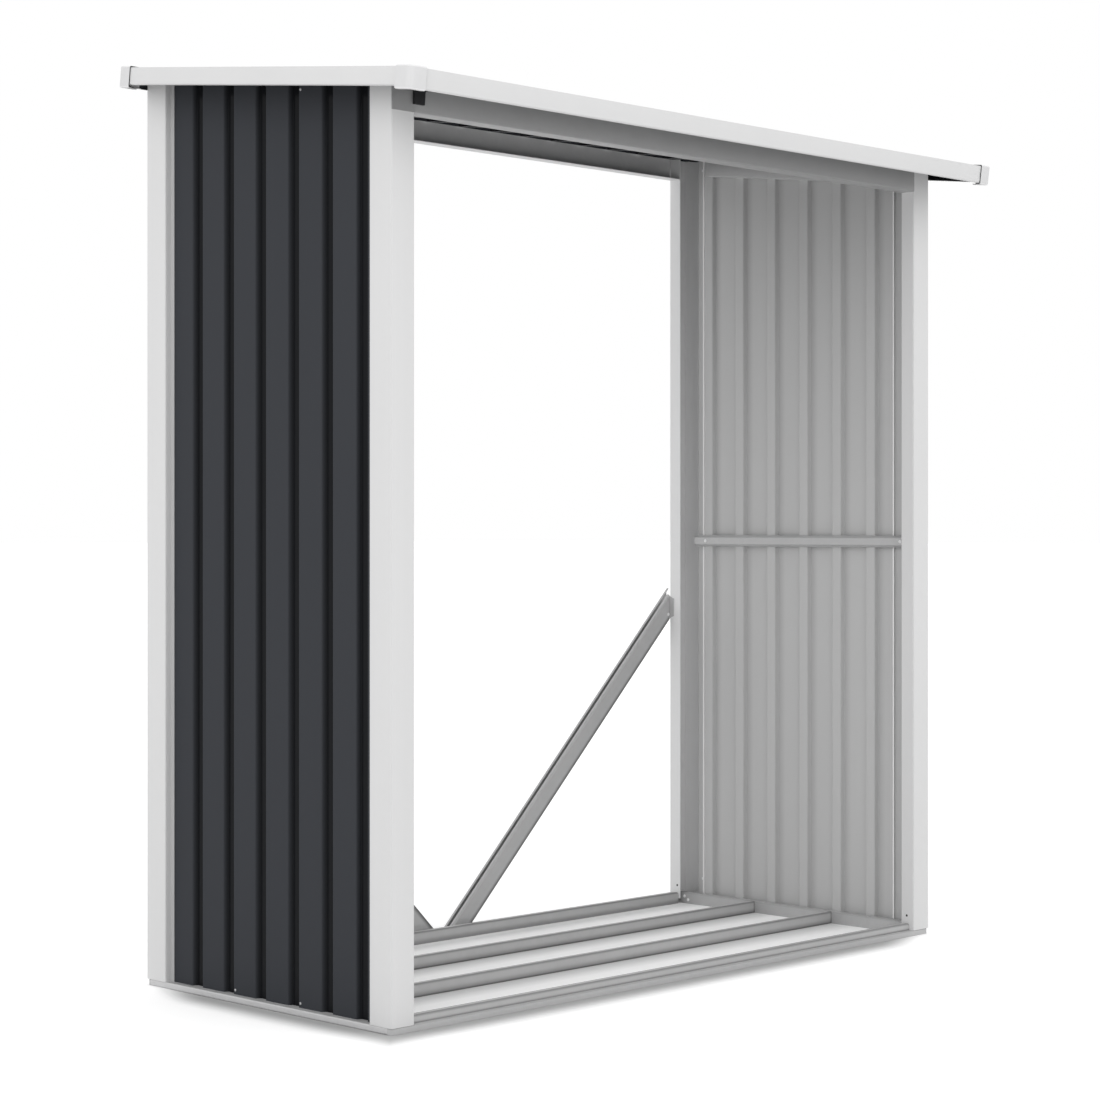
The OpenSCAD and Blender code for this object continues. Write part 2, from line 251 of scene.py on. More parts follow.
def mirrored(place, right=False, back=False):
    """The same place on the right of the store, or at its back."""
    def turned(a, b, run):
        points = place(a, b, run)
        points[..., 0] *= -1 if right else 1
        points[..., 1] = y_front + y_back - points[..., 1] if back else points[..., 1]
        return points
    return turned


def at_corner(right, back=False):
    """Upright place measured from the outer faces of a corner."""
    return mirrored(lambda a, b, run: upright(a - half_l, b + y_front, run), right, back)


def roof_underside(y):
    """Height of the lowest line of the roof sheets above a place between front and back."""
    return roof_front_z + (y - y_roof) * math.tan(slope) + sheet_low / math.cos(slope)


HANDS = ((False, "left"), (True, "right"))
ROWS = ((False, "front"), (True, "back"))
CORNERS = [(f"{row}_{hand}", right, back) for back, row in ROWS for right, hand in HANDS]
print(f"roof sheets: {roof_underside(y_front):.3f} m up in front, {roof_underside(y_back):.3f} m behind")

# %% [markdown]
# ## From grids to a mesh
# A grid's rows are copies of a closed section, so quads join each row to the next, and the first and last
# rows are closed by quads across the thickness. A loop could list the quads one by one, but index arrays
# give all of them at once. A mirrored grid comes out inside out: its volume is then below 0, and its faces
# are turned round.

# %% Faces of a grid
def grid_faces(rows, points):
    """Quads of a carried section, their kinds and their rows.

    The kind is 0 on the sheet's first side, 1 on its second side and 2 at the ends.
    """
    i = np.arange(points)
    j = (i + 1) % points
    row = (np.arange(rows - 1) * points)[:, None]
    sides = np.stack([row + i, row + j, row + j + points, row + i + points], -1).reshape(-1, 4)
    second = np.tile((i >= points // 2 - 1).astype(int), rows - 1)
    k = np.arange(points // 2 - 1)
    end = np.stack([k, points - 1 - k, points - 2 - k, k + 1], -1)
    last = (rows - 1) * points
    faces = np.concatenate([sides, end, end[:, ::-1] + last])
    of_row = np.repeat(np.arange(rows - 1), points)
    ends = np.full(2 * len(k), 2)
    return faces, np.concatenate([second, ends]), np.concatenate([of_row, 0 * ends])


def turned_outwards(points, faces):
    """Faces in an order that gives the closed grid a positive volume, the sum of its cones to the origin."""
    a, b, c, d = (points[faces[:, n]] for n in range(4))
    cones = (a * np.cross(b, c)).sum() + (a * np.cross(c, d)).sum()
    return faces if cones > 0 else faces[:, ::-1]


print("faces on a grid of 2 rows of 8 points:", len(grid_faces(2, 8)[0]))

# %% [markdown]
# A piece may hold several grids, as a rail holds its lip and its channel. They could be joined as objects,
# but points and faces laid one after another need no selection. Faces of the second side of the sheet can
# take a second finish, because a wall panel is coated in another colour inside.

# %% A piece from its grids
SHARP = math.radians(32)


def mesh_piece(name, points, faces, finishes, picks=None, marks=()):
    """Object at the origin from points and lists of corners, smooth apart from folds sharper than SHARP."""
    mesh = bpy.data.meshes.new(name)
    mesh.from_pydata(points.tolist(), [], faces)
    mesh.polygons.foreach_set("use_smooth", np.ones(len(faces), bool))
    for finish in finishes:
        mesh.materials.append(finish)
    if picks is not None:
        mesh.polygons.foreach_set("material_index", picks.astype(np.int32))
    for label, values in marks:
        mark = mesh.attributes.new(label, "FLOAT", "POINT")
        mark.data.foreach_set("value", values.astype(np.float32))
    mesh.set_sharp_from_angle(angle=SHARP)
    mesh.validate()
    piece = bpy.data.objects.new(name, mesh)
    bpy.context.scene.collection.objects.link(piece)
    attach(piece, "root")
    return piece


def sheet_piece(node, grids, finishes, sides=None):
    """One piece of sheet, from one or more grids, that stands for a node of the construction.

    For each grid, sides gives the finishes of its first side, its second side and its ends. The second
    side may have one finish for each run between two rows.
    """
    last = len(finishes) - 1
    sides = sides or [(0, last, last)] * len(grids)
    points, faces, picks = [], [], []
    for grid, (first, second, ends) in zip(grids, sides):
        rows, count = grid.shape[:2]
        own = grid.reshape(-1, 5)
        quads, kinds, of_row = grid_faces(rows, count)
        faces.append(turned_outwards(own[:, :3] - own[:, :3].mean(0), quads) + sum(map(len, points)))
        points.append(own)
        picks.append(np.choose(kinds, [first, np.broadcast_to(second, rows - 1)[of_row], ends]))
    whole = np.concatenate(points)
    piece = mesh_piece(node + "_sheet", whole[:, :3], np.concatenate(faces).tolist(), finishes,
                       np.concatenate(picks), [("fold", whole[:, 3]), ("hollow", whole[:, 4])])
    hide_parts(node)


print(f"folds over {math.degrees(SHARP):.0f} degrees stay sharp")

# %% [markdown]
# ## Finishes
# The store has off-white paint, anthracite paint, a pale grey coat on the inside of the walls, moulded
# plastic and galvanised steel. Painted sheet isn't one flat colour: the paint has a fine orange-peel grain
# and tones drift a little over a panel. An image could hold that, but it would need unwrapped sheets. Noise
# needs none, and it is shared, so it is one node group with its own values in each material. The group also
# paints shade into the tone: darker in folds, in valleys and near the ground. Where a mark is below 0 it
# paints a highlight.

# %% Paint grain and painted shade, a group for all coated pieces
def add_node(tree, kind, links=(), **settings):
    """Node with its settings, and with its inputs linked or set."""
    node = tree.nodes.new(kind)
    for key, value in settings.items():
        setattr(node, key, value)
    for key, value in links:
        if isinstance(value, bpy.types.NodeSocket):
            tree.links.new(value, node.inputs[key])
        else:
            node.inputs[key].default_value = value
    return node


def joined(tree, operation, *values):
    """Two or three values joined by one operation."""
    return add_node(tree, "ShaderNodeMath", enumerate(values), operation=operation).outputs[0]


def stepped(tree, value, start, end, low, high, kind="LINEAR"):
    """Step from low to high while a value goes from start to end."""
    links = [("Value", value), ("From Min", start), ("From Max", end), ("To Min", low), ("To Max", high)]
    return add_node(tree, "ShaderNodeMapRange", links, interpolation_type=kind).outputs[0]


def shaded(tree, tone, mask, amount):
    """Tone times one minus the mask times an amount."""
    left = joined(tree, "SUBTRACT", 1.0, joined(tree, "MULTIPLY", mask, amount))
    return joined(tree, "MULTIPLY", tone, left)


def mark_of(tree, label):
    """Value of a mesh's own mark, which is 0 where it has none."""
    return add_node(tree, "ShaderNodeAttribute", attribute_name=label).outputs["Fac"]


# Height over which the painted shade near the ground fades out.
ground_shade_h = 16 * MM
peel_size = 1.6 * MM


def grain_and_shade_group():
    """Fine peel as a height, and a tone: a slow drift down the sheet, with painted shade in folds and
    valleys.

    Painted shade also falls near the ground: its mask falls from 1 to 0 over the first 16 mm of height.
    A mark below 0 lightens the tone and paints a highlight.
    """
    group = bpy.data.node_groups.new("grain_and_shade", "ShaderNodeTree")
    shades = {"Drift": 0.04, "Fold Shade": 0.0, "Valley Shade": 0.0, "Ground Shade": 0.0}
    for label, value in {"Peel Size": peel_size, **shades}.items():
        socket = group.interface.new_socket(label, in_out="INPUT", socket_type="NodeSocketFloat")
        socket.default_value = value
    for label in ("Height", "Tone"):
        group.interface.new_socket(label, in_out="OUTPUT", socket_type="NodeSocketFloat")
    given = group.nodes.new("NodeGroupInput").outputs
    result = group.nodes.new("NodeGroupOutput").inputs
    place = add_node(group, "ShaderNodeTexCoord").outputs["Object"]
    per_metre = joined(group, "DIVIDE", 1.0, given["Peel Size"])
    peel = add_node(group, "ShaderNodeTexNoise", [("Vector", place), ("Scale", per_metre), ("Detail", 2.0)])
    streaks = add_node(group, "ShaderNodeMapping", [("Vector", place), ("Scale", (9.0, 9.0, 1.3))])
    drift = add_node(group, "ShaderNodeTexNoise",
                     [("Vector", streaks.outputs[0]), ("Scale", 1.0), ("Detail", 4.0)])
    centred = joined(group, "SUBTRACT", drift.outputs["Fac"], 0.5)
    tone = joined(group, "MULTIPLY_ADD", centred, given["Drift"], 1.0)
    height = add_node(group, "ShaderNodeSeparateXYZ", [(0, place)]).outputs["Z"]
    ground_shade = stepped(group, height, 0.0, ground_shade_h, 1.0, 0.0, "SMOOTHERSTEP")
    shade = shaded(group, tone, mark_of(group, "fold"), given["Fold Shade"])
    shade = shaded(group, shade, mark_of(group, "hollow"), given["Valley Shade"])
    shade = shaded(group, shade, ground_shade, given["Ground Shade"])
    group.links.new(peel.outputs["Fac"], result["Height"])
    group.links.new(shade, result["Tone"])
    return group


grain_and_shade = grain_and_shade_group()
print("group:", grain_and_shade.name, [s.name for s in grain_and_shade.interface.items_tree])

# %% [markdown]
# The coat itself is a Principled shader. The group's tone multiplies the paint's colour, its height feeds
# a weak bump, and the roughness follows the tone so that highlights break up a little.

# %% Coats
def new_finish(name, colour, tone, roughness, bump, grain, **plain):
    """Principled material: colour times a tone, a roughness, and the group's height as a weak bump.

    Tone and roughness are functions of the tree and the placed group. Plain values go on the shader.
    """
    material = bpy.data.materials.new(name)
    material.use_nodes = True
    tree = material.node_tree
    shader = tree.nodes["Principled BSDF"].inputs
    for label, value in plain.items():
        shader[label.replace("_", " ")].default_value = value
    placed = add_node(tree, "ShaderNodeGroup", grain.items(), node_tree=grain_and_shade).outputs
    tint = add_node(tree, "ShaderNodeVectorMath", [(0, colour), ("Scale", tone(tree, placed))],
                    operation="SCALE")
    relief = add_node(tree, "ShaderNodeBump",
                      [("Height", placed["Height"]), ("Strength", bump), ("Distance", 0.2 * MM)])
    tree.links.new(tint.outputs[0], shader["Base Color"])
    tree.links.new(roughness(tree, placed), shader["Roughness"])
    tree.links.new(relief.outputs[0], shader["Normal"])
    return material


def coat(name, colour, roughness, peel=0.05, drift=0.05, specular=0.5, fold=0.0, valley=0.0):
    """Painted or moulded finish: colour times the group's tone, and a roughness that follows the tone."""
    shades = {"Drift": drift, "Fold Shade": fold, "Valley Shade": valley}
    return new_finish(name, colour, lambda tree, grain: grain["Tone"],
                      lambda tree, grain: joined(tree, "MULTIPLY", grain["Tone"], roughness),
                      peel, shades, Specular_IOR_Level=specular)


# Fold and valley shades paint shade into the colour: along folds, in the valleys of walls and roof, and in
# the posts' grooves. The white plastic's fold shade is below 0, so it paints a highlight along its folds.
white_paint = coat("white_paint", (0.735, 0.735, 0.737), 0.5, specular=0.3, fold=0.04, valley=0.3)
anthracite_paint = coat("anthracite_paint", (0.048, 0.0508, 0.0575), 0.55, drift=0.08, specular=0.04,
                        valley=0.78)
inside_coat = coat("inside_coat", (0.565, 0.565, 0.565), 0.55, specular=0.2, fold=0.22)
white_plastic = coat("white_plastic", (0.725, 0.725, 0.73), 0.5, peel=0.02, specular=0.3, fold=-0.22)
dark_plastic = coat("dark_plastic", (0.018, 0.018, 0.02), 0.45, peel=0.12, drift=0.3)
print("coats:", white_paint.name, anthracite_paint.name, inside_coat.name)

# %% [markdown]
# Galvanised steel is zinc that has frozen into flat crystals, the spangle. Cells of a Voronoi texture give
# each crystal its own tone, and the tone also sets how rough it is, so that crystals catch the light
# one by one. The zinc is dull, so it is only partly metallic.

# %% Galvanised steel
SPANGLE = 12 * MM
ZINC_METAL = 0.15


def galvanised_finish(name, colour, spangle=SPANGLE, fold=0.2, ground=0.0):
    """Zinc: colour times a crystal's own tone, a slow drift and painted shade at folds and near the ground,
    with the crystal in the roughness too.
    """
    def crystal(tree):
        place = add_node(tree, "ShaderNodeTexCoord").outputs["Object"]
        cells = add_node(tree, "ShaderNodeTexVoronoi", [("Vector", place), ("Scale", 1 / spangle)])
        return add_node(tree, "ShaderNodeSeparateColor", [(0, cells.outputs["Color"])]).outputs[0]
    def tone(tree, grain):
        return joined(tree, "MULTIPLY", stepped(tree, crystal(tree), 0.0, 1.0, 0.98, 1.02), grain["Tone"])
    def roughness(tree, grain):
        return stepped(tree, crystal(tree), 0.0, 1.0, 0.44, 0.56)
    shades = {"Drift": 0.08, "Fold Shade": fold, "Ground Shade": ground}
    return new_finish(name, colour, tone, roughness, 0.04, shades, Metallic=ZINC_METAL)


galvanised = galvanised_finish("galvanised", (0.51, 0.51, 0.513))
# The rails' channels and the floor bars take stronger painted shade along their folds and near the ground.
shaded_edge_zinc = galvanised_finish("shaded_edge_zinc", (0.52, 0.52, 0.522), fold=0.5, ground=0.42)
screw_zinc = galvanised_finish("screw_zinc", (0.93, 0.93, 0.935), spangle=0.003)
print(f"galvanised: {galvanised.name}, spangle {SPANGLE:.3f} m")

# %% [markdown]
# ## The base
# The base is a frame of four rails on the ground with two bars across it. The front and back rails have a
# low lip with round ends, which is a section carried round a corner, and behind it a raised channel whose
# upper ends are rounded. The rounding is a cut, so the channel's end depends on the height of each point
# of its section.

# %% Front and back rails
ledge = 12 * MM
post_face = 55 * MM
end_gap = 0.3 * MM
end_r = 7 * MM
edge_w = 3.5 * MM
lip_bend = 0.8 * MM


def long_rail(node, back):
    """Lip round its corners, and channel with rounded upper ends, as one piece."""
    lip = folded([(0.0, 0.0), (0.0, lip_h), (ledge - thin_gap, lip_h)], -frame_t, lip_bend)
    route = [(-half_l, ledge), (-half_l, 0.0), (half_l, 0.0), (half_l, ledge)]
    stand = mirrored(lambda x, y, z: np.stack([x, y + y_front, z], -1), back=back)
    lip_grid = round_route(lip, route, ledge - thin_gap / 2, stand, steps=8)
    channel = with_edges(folded([(ledge - frame_t, lip_h), (ledge, lip_h), (ledge, rail_h),
                                 (rail_in, rail_h), (rail_in, 0.0)], -frame_t), edge_w)
    over = np.clip(channel[:, 1] - (rail_h - end_r), 0, end_r)
    reach = half_l - post_face - end_gap - (end_r - np.sqrt(end_r ** 2 - over ** 2))
    place = mirrored(lambda a, b, run: along_x(a + y_front, b, run), back=back)
    sheet_piece(node, [lip_grid, straight(channel, -reach, reach, place)], [galvanised, shaded_edge_zinc],
                [(0, 0, 0), (1, 1, 1)])


for back, row in ROWS:
    long_rail(f"{row}_base_rail", back)
print(f"long rails: lip {lip_h:.3f} m high, channel {rail_h:.3f} m high")

# %% [markdown]
# The side rails are one fold more: a foot on the ground, a lip, a ledge for the wall and a raised channel.
# The floor bars are plain channels, and their places are read from the construction, so that the two stay
# in step. A box with a Solidify modifier would do for a bar, but a carried section keeps the bends.

# %% Side rails and floor bars
foot = 12 * MM
lip_highlight = -1.0
groove = 14 * MM
panel_gap = 0.3 * MM
panel_x = groove + frame_t + panel_gap
rib_x = panel_x + valley_depth + sheet_t
side_leg = rib_x + panel_gap
channel_x = side_leg + rail_in - ledge


def side_rail(node, right):
    """Foot, lip, ledge under the wall and a raised channel behind it, along Y.

    The lip catches the light, so its fold mark is below 0, which the finish turns into a brighter tone: a
    painted highlight.
    """
    line = [(foot, 0.0), (0.0, 0.0), (0.0, lip_h), (side_leg, lip_h), (side_leg, rail_h),
            (channel_x, rail_h), (channel_x, 0.0)]
    section = with_edges(folded(line, -frame_t), edge_w)
    section[section[:, 0] < 2 * frame_t, 2] = lip_highlight
    place = mirrored(lambda a, b, run: along_y(a - half_l, b, run), right=right)
    sheet_piece(node, [straight(section, y_front + ledge, y_back - ledge, place)], [galvanised])


def floor_bar(node):
    """Channel across the base, open to the back, where the construction has it, with painted shade at its
    ends.
    """
    low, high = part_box(node)
    section = with_edges(folded([(foot, 0.0), (0.0, 0.0), (0.0, rail_h), (foot, rail_h)], -frame_t), edge_w)
    place = lambda a, b, run: along_x(a + low.y, b, run)
    end = 2 * edge_w / (high.x - low.x)
    grid = straight(section, low.x, high.x, place, (0, end, 1 - end, 1))
    # A fold mark of 1 on the end rows paints shade at the bar's ends.
    grid[[0, -1], :, 3] = 1
    sheet_piece(node, [grid], [shaded_edge_zinc])


for right, hand in HANDS:
    side_rail(f"{hand}_base_rail", right)
floor_bar("front_floor_bar")
floor_bar("back_floor_bar")
print("base: four rails and two bars")

# %% [markdown]
# ## Posts and walls
# A post is one folded channel: a return beside the opening, the front face, the side face, then a step
# inwards and a flange that covers the edge of the wall. A second flange lies behind that edge and ends in
# a small upstand, whose brighter coat is a painted highlight. All are carried upright, and the top is cut to
# the slope by giving each point its own height; a Boolean cut would do the same but leave odd faces.

# %% Posts
post_return = 33 * MM
post_side = 60 * MM
outer_flange = 9 * MM
inner_flange = 21 * MM
return_highlight = -0.73
post_bend = 1.5 * MM
groove_from = post_side - 2 * MM
hem = 3.5 * MM
hem_t = 0.8 * MM
hem_bend = 0.6 * MM
inner_x = panel_x + sheet_t + panel_gap
# A brighter coat on the upstand paints a highlight along its free edge.
hem_highlight = coat("hem_highlight", (0.93, 0.93, 0.93), 0.4, specular=0.4)


def post(node, right, back):
    """Channel and inner flange of a corner post, from the lip of the base up to the roof sheets.

    The back posts' returns catch more light, so their hollow mark is below 0, which brightens the finish as
    a painted highlight. On the outer flange the hollow mark paints shade into the groove.
    """
    main = folded([(post_face, post_return), (post_face, 0.0), (0.0, 0.0), (0.0, post_side),
                   (groove, post_side), (groove, post_side + outer_flange)], -frame_t, post_bend, 6,
                  hollow=lambda line: (line[:, 1] > groove_from) * line[:, 0] / groove)
    if back:
        on_return = (main[:, 0] > post_face - 2 * frame_t) & (main[:, 1] > frame_t / 2)
        main[on_return, 3] = return_highlight
    free = post_side + inner_flange
    behind = folded([(groove, post_side), (inner_x, post_side), (inner_x, free)], -frame_t)
    edge = inner_x + frame_t
    upstand = folded([(edge, free), (edge + hem, free), (edge + hem, free - hem)], hem_t, hem_bend)
    place = at_corner(right, back)
    def top(section):
        y = y_front + section[:, 1]
        return roof_underside(y_front + y_back - y if back else y)
    grids = [straight(section, lip_h, top(section), place) for section in (main, behind, upstand)]
    sheet_piece(node, grids, [white_paint, inside_coat, hem_highlight],
                [(0, 0, 0), (1, 1, 1), (2, 2, 2)])


for corner, right, back in CORNERS:
    post(f"{corner}_post", right, back)
print(f"posts: 4, with faces of {post_face:.3f} m")

# %% [markdown]
# A wall panel is one sheet, rolled with valleys at an even pitch. Its section is a line with four corners
# to a valley. The corners have a softer bend than the folded frame, because the sheet is roll-formed.

# %% Ribbed wall panels
wall_pitch = 96 * MM
valley_mouth = 31 * MM
valley_floor = 22 * MM
first_valley = 37 * MM
wall_valleys = 6
roll_bend = 2.2 * MM
rib_shade = 36 * MM
rib_step = 2 * MM
panel_step = 3 * MM
panel_edge = post_side + panel_gap
panel_w = y_back - y_front - 2 * panel_edge


def valleys(centres, level):
    """Four corner points for each valley: lip, floor, floor, lip."""
    across = np.array([-valley_mouth, -valley_floor, valley_floor, valley_mouth]) / 2
    depth = np.array([0.0, -valley_depth, -valley_depth, 0.0])
    along = centres[:, None] + across
    return np.stack([along, level + depth + 0 * along], -1).reshape(-1, 2)


def wall_panel(node, right):
    """Ribbed sheet between two posts, dark outside and pale inside.

    Its fold mark is 1 at the front flank of a rib and fades to 0 on the flat in front of it, which the
    inside coat turns into painted shade. The hollow mark paints shade into the valleys outside.
    """
    last_gap = panel_w - first_valley - (wall_valleys - 1) * wall_pitch
    start = panel_edge + (last_gap if right else first_valley)
    ribs = valleys(start + wall_pitch * np.arange(wall_valleys), 0.0)
    across = np.concatenate([[(panel_edge, 0.0)], ribs, [(panel_edge + panel_w, 0.0)]])
    corners = np.stack([panel_x - across[:, 1], across[:, 0]], 1)
    bent = folded(corners, -sheet_t, roll_bend, hollow=lambda line: (line[:, 0] - panel_x) / valley_depth)
    section = with_points(bent, panel_step)
    ahead = (start - section[:, 1]) % wall_pitch
    rises = np.clip((ahead - valley_floor / 2) / rib_step, 0, 1)
    section[:, 2] = rises * np.clip((rib_shade - ahead) / (rib_shade - valley_floor / 2), 0, 1)
    place = at_corner(right)
    top = roof_underside(y_front + section[:, 1])
    sheet_piece(node, [straight(section, lip_h, top, place)], [anthracite_paint, inside_coat])


for right, hand in HANDS:
    wall_panel(f"{hand}_wall_panel", right)
print("walls: 2 panels of", wall_valleys, "valleys")

# %% [markdown]
# ## Rails and beams
# Inside each wall a soft hat section stiffens the middle, and a channel follows the slope at the top. The
# beams under the roof are angles. The front one laps over the face of the left post.

# %% Mid and top rails
mid_d = 11 * MM
mid_crown = 16 * MM
mid_bend = 2 * MM
top_d = 14 * MM
top_h = 36 * MM
top_end = 112 * MM


def mid_rail(node, right):
    """Hat section along Y with soft bends, against the ribs of the wall."""
    low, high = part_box("left_mid_rail")
    flank = (high.z - low.z - mid_crown) / 2
    height = high.z - low.z
    inner = mid_d - frame_t
    section = folded([(0.0, frame_t), (inner, flank), (inner, height - flank), (0.0, height - frame_t)],
                     -frame_t, mid_bend, 6)
    place = mirrored(lambda a, b, run: along_y(a + low.x, b + low.z, run), right)
    sheet_piece(node, [straight(section, low.y, high.y, place)], [galvanised])


def top_rail(node, right):
    """Channel along the top of a wall, in the plane of the roof."""
    start = (over_front + top_end) / math.cos(slope)
    length = (y_back - y_front - 2 * top_end) / math.cos(slope)
    section = folded([(0.0, -top_h), (top_d, -top_h), (top_d, 0.0), (0.0, 0.0)], frame_t)
    place = mirrored(lambda a, b, run: on_roof(a - half_l + rib_x, run, b + sheet_low), right)
    sheet_piece(node, [straight(section, start, start + length, place)], [galvanised])


for right, hand in HANDS:
    mid_rail(f"{hand}_mid_rail", right)
    top_rail(f"{hand}_top_rail", right)
print(f"rails: mid rails {mid_d:.3f} m deep, top rails {top_h:.3f} m high")

# %% [markdown]
# A beam is an angle: a web that stands under the roof and a narrow foot that points inwards. The web's top
# must follow the slope, so the section's upper points are brought down to the roof's underside. The part of
# the front beam in front of the post is a strip of its own, joined to the same piece.

# %% Beams
def angle_beam(node, section, finish, grids=()):
    """Angle between the posts, with its web cut to the slope of the roof."""
    ends = half_l - post_face
    upper = np.minimum(section[:, 1], roof_underside(section[:, 0]))
    cut = np.column_stack([section[:, 0], upper, section[:, 2:]])
    sheet_piece(node, [straight(cut, -ends, ends, along_x), *grids], [finish])


# The same zinc in two tones: darker on the front beam as painted shade under the roof's overhang, and
# brighter on the back beam as painted light in its shade.
painted_shade_zinc = galvanised_finish("painted_shade_zinc", (0.36, 0.36, 0.362))
painted_light_zinc = galvanised_finish("painted_light_zinc", (0.66, 0.66, 0.662))
front_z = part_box("front_beam")[0].z
back_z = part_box("back_beam")[0].z
web = y_front - frame_t
above_roof = 2.0
lap = folded([(web, front_z), (web, roof_underside(web))], -frame_t)
lap[:, 1] = np.minimum(lap[:, 1], roof_underside(lap[:, 0]))
lap_grid = straight(lap, -half_l, -half_l + post_face, along_x)
front_line = [(y_front + post_return, front_z), (web, front_z), (web, above_roof)]
back_line = [(y_back - post_return, back_z), (y_back, back_z), (y_back, above_roof)]
angle_beam("front_beam", folded(front_line, -frame_t), painted_shade_zinc, [lap_grid])
angle_beam("back_beam", folded(back_line, frame_t), painted_light_zinc)
print(f"beams at {front_z:.3f} and {back_z:.3f} m")

# %% [markdown]
# ## Braces
# Two channels stand in a V across the open back, each from the ground up to a post at 45 degrees. The left
# one is the right one turned over, so its web lies above. Arrays of start and end values, one for each
# point of the section, cut the foot flat and the top upright; rotating a finished channel would leave it on
# its corner. A tab folds from the near leg onto the post.

# %% Braces
brace_h = 43.5 * MM
brace_w = 25 * MM
brace_foot = 34.5 * MM
brace_end = 40.5 * MM
brace_lip = 8 * MM
brace_tab = 14 * MM
brace_bend = 2.2 * MM
brace_shade = 9 * MM
tab_bend = 0.6 * MM
tab_lean = 6 * MM
brace_angle = math.radians(45)


def brace(node, right):
    """Channel carried up the slant, from a foot cut flat on the ground to an end cut upright, and its tab.

    With run u and offset b, a point lies u cos - b sin from the foot and u sin + b cos above the ground.
    Its run starts where the height is 0 and ends at the post for the near leg, and further on otherwise.
    """
    web = -brace_h / 2 if right else brace_h / 2
    line = [(brace_lip, -web), (0.0, -web), (0.0, web), (brace_w, web), (brace_w, -web),
            (brace_w - brace_lip, -web)]
    section = with_edges(folded(line, frame_t if right else -frame_t, brace_bend), brace_shade)
    section[:, 2] *= section[:, 1] * web > 0
    cos, sin = math.cos(brace_angle), math.sin(brace_angle)
    side = 1 if right else -1
    at_post = half_l - post_face
    def slant(a, b, run):
        return np.stack([side * (brace_foot + run * cos - b * sin), y_back + a, run * sin + b * cos], -1)
    stop = np.where(section[:, 0] < brace_lip + frame_t, at_post, half_l - brace_end)
    offset = section[:, 1]
    grid = straight(section, -offset * cos / sin, (stop - brace_foot + offset * sin) / cos, slant)
    tab_line = [(at_post - frame_t / 2, frame_t), (at_post, 0.0), (at_post, -brace_tab)]
    tab = folded(tab_line, -frame_t, tab_bend)
    middle = (at_post - brace_foot) * sin / cos
    reach = (brace_h / 2 - 2 * frame_t) / cos
    lean = np.clip(-tab[:, 1] / brace_tab, 0, 1) * tab_lean
    tab_grid = straight(tab, middle - reach + lean, middle + reach - lean,
                        lambda a, b, run: upright(side * a, y_back + b, run))
    sheet_piece(node, [grid, tab_grid], [brace_zinc])


# The braces' zinc paints strong shade along their folds and near the ground.
brace_zinc = galvanised_finish("brace_zinc", (0.52, 0.52, 0.522), fold=0.85, ground=0.42)
for right, hand in HANDS:
    brace(f"{hand}_brace", right)
print(f"braces: channels of {brace_h:.4f} x {brace_w:.4f} m")

# %% [markdown]
# ## A small clip
# The dark clip on the front beam has flat faces and sharp edges, so the construction's own mesh is kept and
# only takes a finish. Its shape isn't changed.

# %% Finish of the clip
nodes["beam_clip"].data.materials.clear()
nodes["beam_clip"].data.materials.append(dark_plastic)
print("clip:", nodes["beam_clip"].name)

# %% [markdown]
# ## The roof
# Three ribbed sheets lie side by side and lap over each other, with the outer edges turned down. An Array
# modifier could repeat one rib, but the laps and the turned edges break the repeat, so each sheet is one
# section with all of its valleys, carried up the slope.

# %% Roof sheets
roof_valleys = 6
roof_sheets = 3
roof_lap = 20 * MM
edge_down = 25 * MM
sheet_bend = 1.2 * MM
cap_r = 14 * MM
cap_gap = 0.3 * MM
sheet_edge = half_roof - frame_t - cap_gap
sheet_pitch = 2 * sheet_edge / (roof_sheets * roof_valleys)


def roof_sheet(node, i):
    """Ribbed sheet number i, lapped over the next one, in the plane of the roof."""
    x0 = -sheet_edge + i * roof_valleys * sheet_pitch
    x1 = x0 + roof_valleys * sheet_pitch
    ribs = valleys(x0 + (np.arange(roof_valleys) + 0.5) * sheet_pitch, sheet_top)
    near = [(x0, sheet_top - edge_down), (x0, sheet_top)] if i == 0 else [(x0, sheet_top)]
    if i == roof_sheets - 1:
        far = [(x1, sheet_top), (x1, sheet_top - edge_down)]
    else:
        ribs[-1, 1] += lap_rise
        far = [(x1 + roof_lap, sheet_top + lap_rise)]
    # The hollow mark paints shade into the valleys.
    section = folded(np.concatenate([near, ribs, far]), -sheet_t, sheet_bend,
                     hollow=lambda line: np.clip((sheet_top - line[:, 1]) / valley_depth, 0, 1))
    place = lambda a, b, run: on_roof(a, run, b)
    margin = cap_r + cap_gap
    grid = straight(section, margin, roof_len - margin, place)
    sheet_piece(node, [grid], [anthracite_paint])


for i, hand in enumerate(("left", "middle", "right")):
    roof_sheet(f"{hand}_roof_sheet", i)
print("roof sheets:", roof_sheets, "of", roof_valleys, "valleys")

# %% [markdown]
# White trims are folded round all four edges: an upper flange, a face and a lower flange. The inner side of
# a trim is dark, so a trim takes two finishes, one for each side of the sheet. Between the posts the back
# trim's dark inner side is painted shade over the back beam; beyond the posts the back trim is white on both
# sides, so its grid has a row at each change.

# %% Trims
trim_front_h = 37 * MM
trim_side_h = 33.5 * MM
trim_top = 25 * MM
trim_low = 10 * MM
trim_bend = 1.2 * MM
trim_end = cap_r + 2 * MM
white_from = half_l + 15 * MM
back_low = (over_back + trim_front_h * math.sin(slope)) / math.cos(slope) - cap_gap


def trim_section(height, low=trim_low):
    """Upper flange, face and lower flange, with the face at 0."""
    return folded([(trim_top, 0.0), (0.0, 0.0), (0.0, -height), (low, -height)], frame_t, trim_bend)


